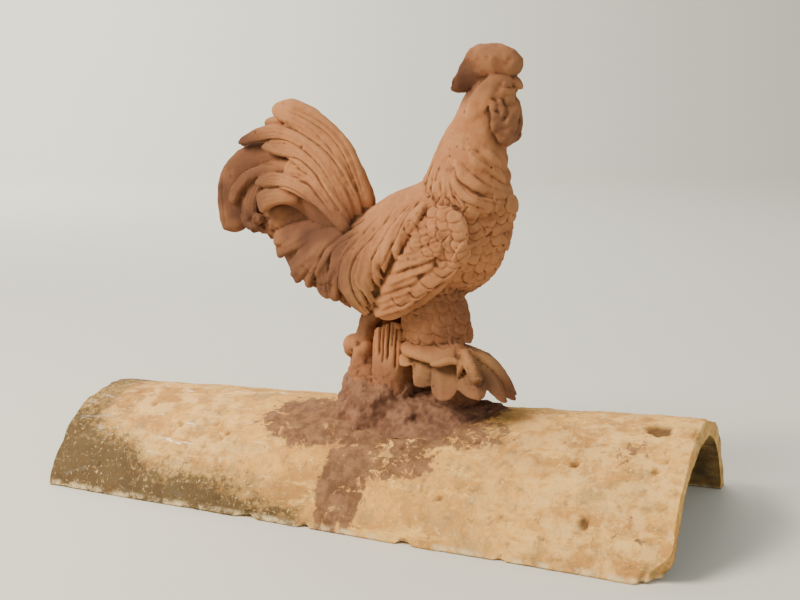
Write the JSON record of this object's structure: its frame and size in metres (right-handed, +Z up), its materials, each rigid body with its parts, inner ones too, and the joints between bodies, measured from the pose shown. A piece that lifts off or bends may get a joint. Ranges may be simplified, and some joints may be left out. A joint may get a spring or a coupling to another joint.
{
  "type": "roof finial",
  "caption": "Ridge tile finial: a moulded terracotta rooster on a clump of leaves, set in mortar on a tapered barrel ridge tile.",
  "frame": {"origin": "on the ground under the middle of the tile, the middle of the base of its bounding box", "axes": "+X along the ridge towards the tile's wide end, the way the rooster faces; +Y away from the side the picture shows; +Z up"},
  "size_m": [0.45, 0.208, 0.3109],
  "materials": {
    "ridge_tile": "weathered limewash over clay, matt, stained with lichen and red clay wash",
    "mortar_bed": "crumbly red lime mortar, matt",
    "rooster": "weathered unglazed terracotta, matt, darker in the carving"
  },
  "bodies": {
    "root": {"ridge_tile": "ridge_tile", "mortar_bed": "mortar_bed", "rooster": "rooster"}
  },
  "joints": []
}
